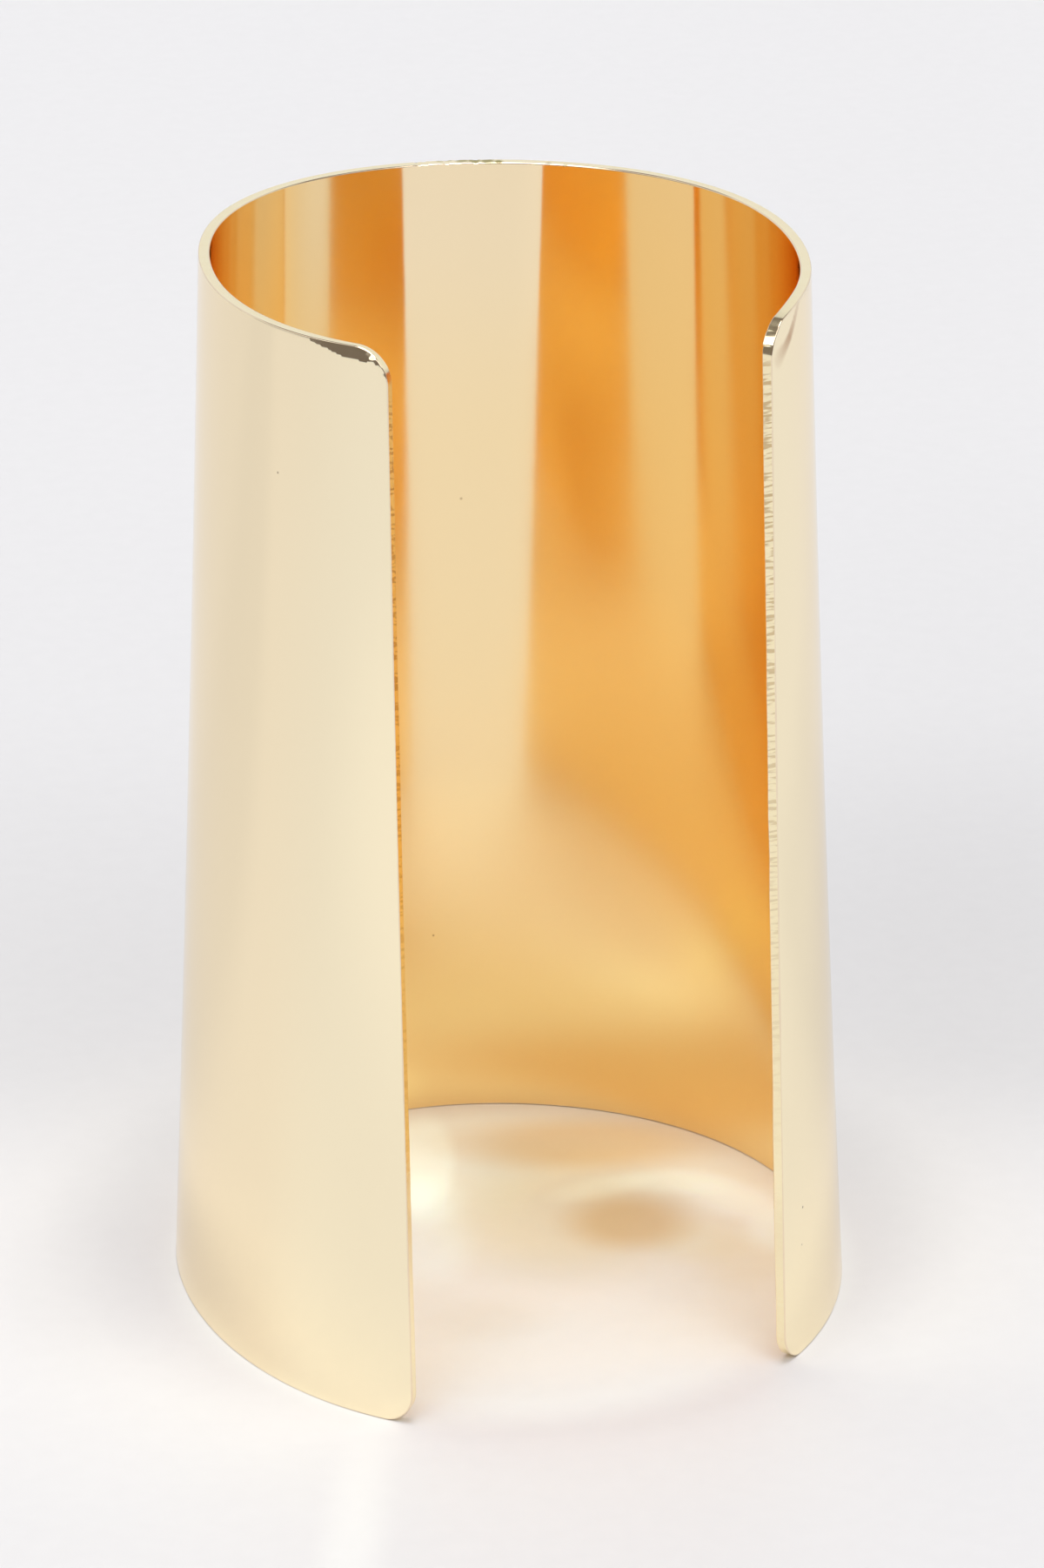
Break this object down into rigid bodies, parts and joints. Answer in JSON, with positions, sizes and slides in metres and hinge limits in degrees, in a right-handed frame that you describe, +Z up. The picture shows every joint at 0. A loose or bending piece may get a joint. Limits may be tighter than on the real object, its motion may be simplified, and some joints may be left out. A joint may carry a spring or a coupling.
{
  "type": "cuff bracelet",
  "caption": "Tall open cuff bracelet: one polished pale gold sheet rolled into a tapered oval with rounded corners and a gap at the front.",
  "frame": {"origin": "on the surface that the wide forearm end stands on, at the middle of the cuff's box", "axes": "+Z up along the arm, from the wide forearm end to the narrower wrist end; the gap faces -Y; +X is across the arm"},
  "size_m": [0.0664, 0.0678, 0.106],
  "materials": {
    "pale_gold": "mirror-polished pale gold plate, with fine hairlines and buffed lips"
  },
  "bodies": {
    "root": {"cuff": "pale_gold"}
  },
  "joints": []
}
